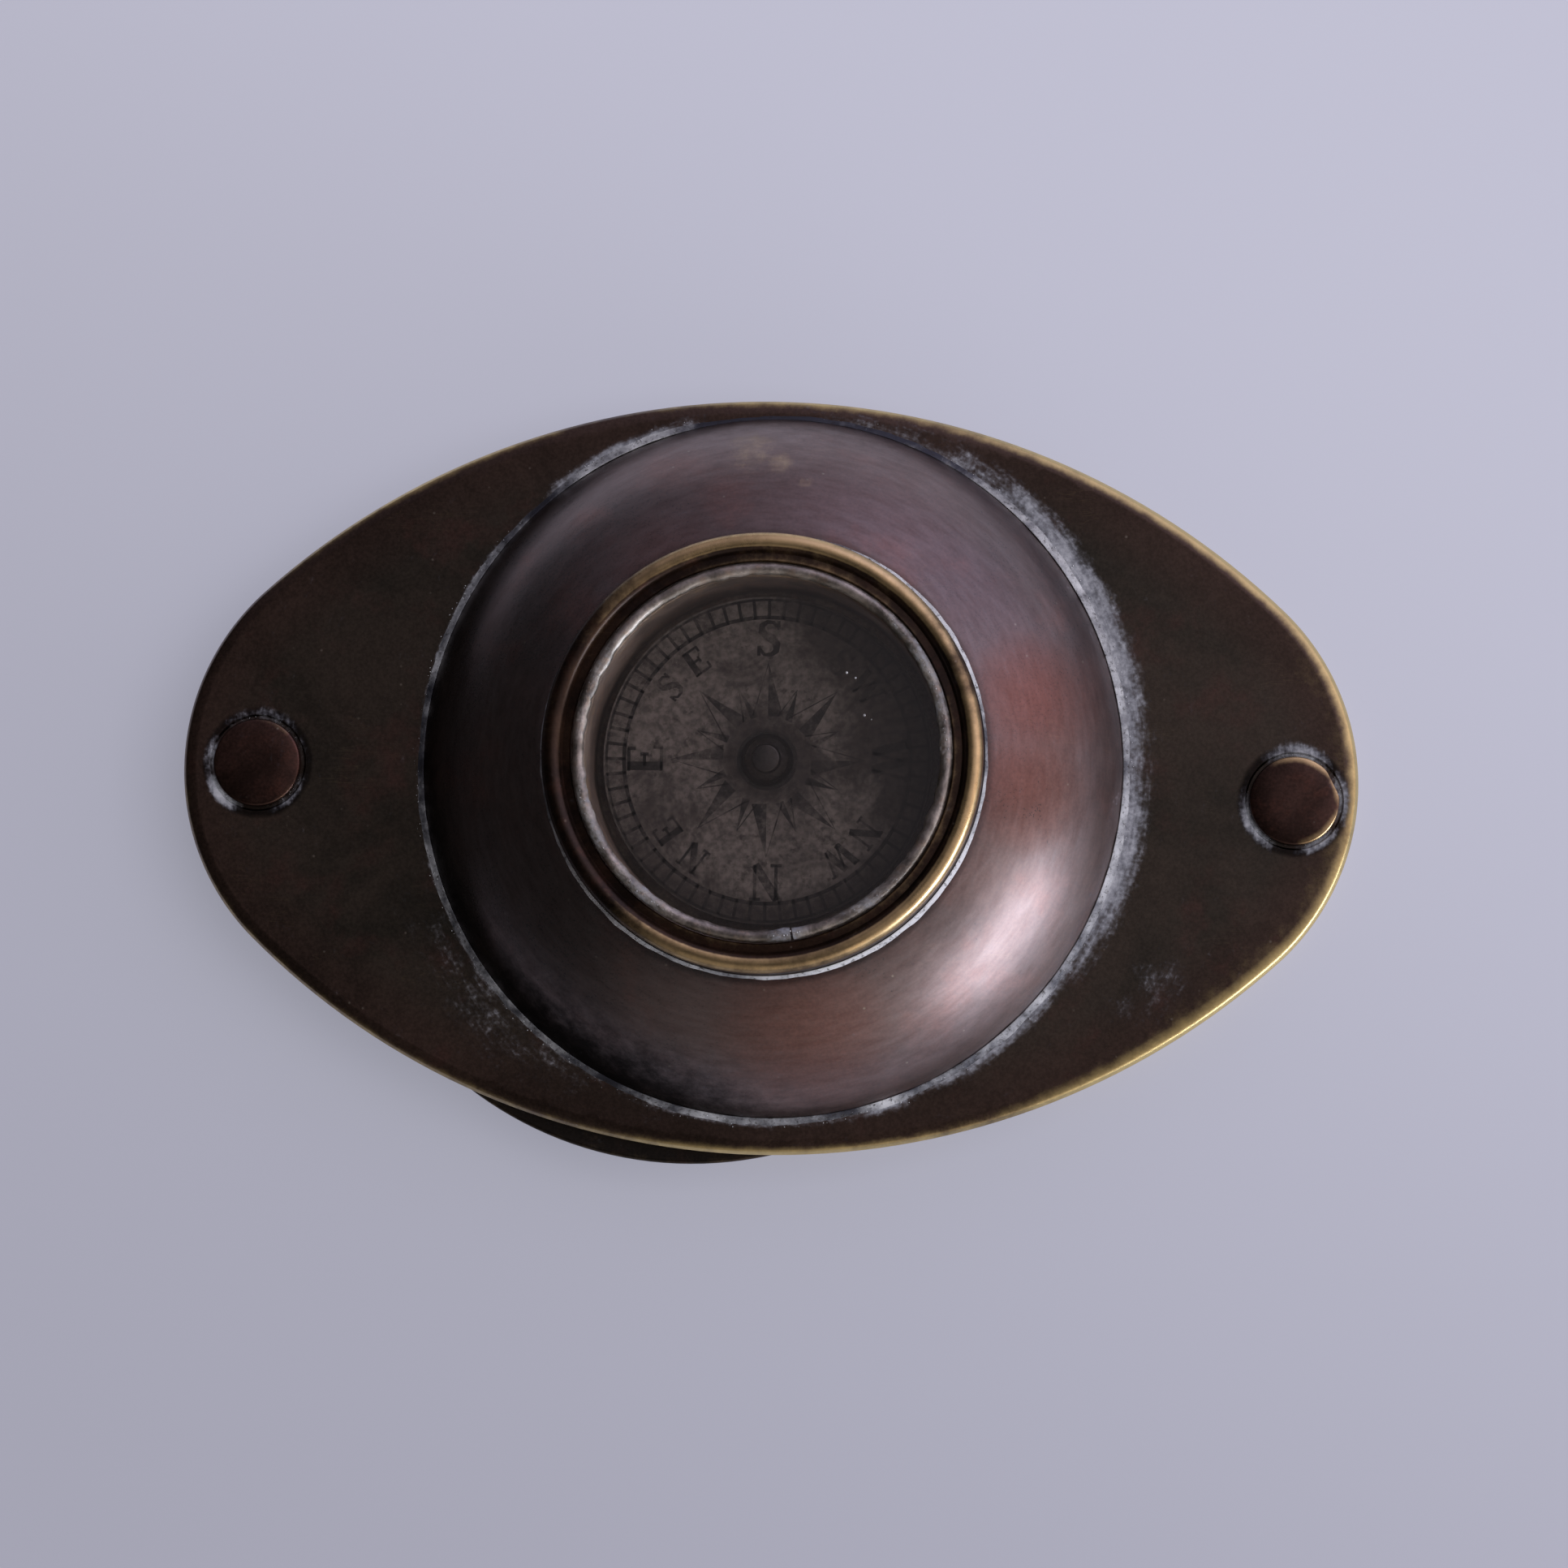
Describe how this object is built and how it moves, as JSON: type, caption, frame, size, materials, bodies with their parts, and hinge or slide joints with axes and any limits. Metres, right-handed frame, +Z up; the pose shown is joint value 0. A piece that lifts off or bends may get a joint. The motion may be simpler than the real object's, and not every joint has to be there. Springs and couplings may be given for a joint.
{
  "type": "compass magnifying glass",
  "caption": "Pocket magnifier: a lens leaf swings out from between riveted oval brass plates, with a card compass under glass in a domed lid.",
  "frame": {"origin": "middle of the lower plate's underside, the face that it rests on", "axes": "+X from the pivot rivet to the far rivet along the plates, +Z up through the compass"},
  "size_m": [0.075, 0.0489, 0.0184],
  "materials": {
    "plate_bronze": "dark brown patina, worn to brass along the edges",
    "rivet_bronze": "dark brown patina, worn on the heads",
    "leaf_bronze": "dark brown patina",
    "dome_bronze": "polished red-brown patina",
    "bowl_bronze": "dull brown patina",
    "bezel_brass": "worn brass",
    "worn_brass": "worn brass",
    "cap_brass": "polished brass",
    "pale_solder": "dull, grainy solder",
    "ring_wire": "dull tinned wire",
    "pin_steel": "plain steel",
    "card_paper": "aged printed card",
    "window_glass": "clear flat glass",
    "lens_glass": "clear ground lens"
  },
  "bodies": {
    "case": {"lower_plate": "plate_bronze", "upper_plate": "plate_bronze", "pivot_rivet": "rivet_bronze", "far_rivet": "rivet_bronze", "pivot_sleeve": "worn_brass", "far_sleeve": "worn_brass", "lower_washer": "worn_brass", "upper_washer": "worn_brass", "compass_dome": "dome_bronze", "dome_solder": "pale_solder", "compass_bowl": "bowl_bronze", "compass_bezel": "bezel_brass", "bezel_solder": "pale_solder", "compass_glass": "window_glass", "glass_retaining_ring": "ring_wire", "pin_boss": "worn_brass", "pivot_pin": "pin_steel"},
    "lens_leaf": {"lens_frame": "leaf_bronze", "magnifier_lens": "lens_glass", "lens_retaining_ring": "worn_brass"},
    "floating_card": {"compass_card": "card_paper", "card_cap": "cap_brass", "magnet_bar": "pin_steel"}
  },
  "joints": [
    {"name": "lens_swing", "type": "hinge", "parent": "case", "child": "lens_leaf", "pos_m": [-0.0326, 0, 0.004], "axis": [0, 0, -1], "continuous": true},
    {"name": "card_turn", "type": "hinge", "parent": "case", "child": "floating_card", "pos_m": [0.0004, 0.0005, 0.012], "axis": [0, 0, 1], "continuous": true}
  ]
}
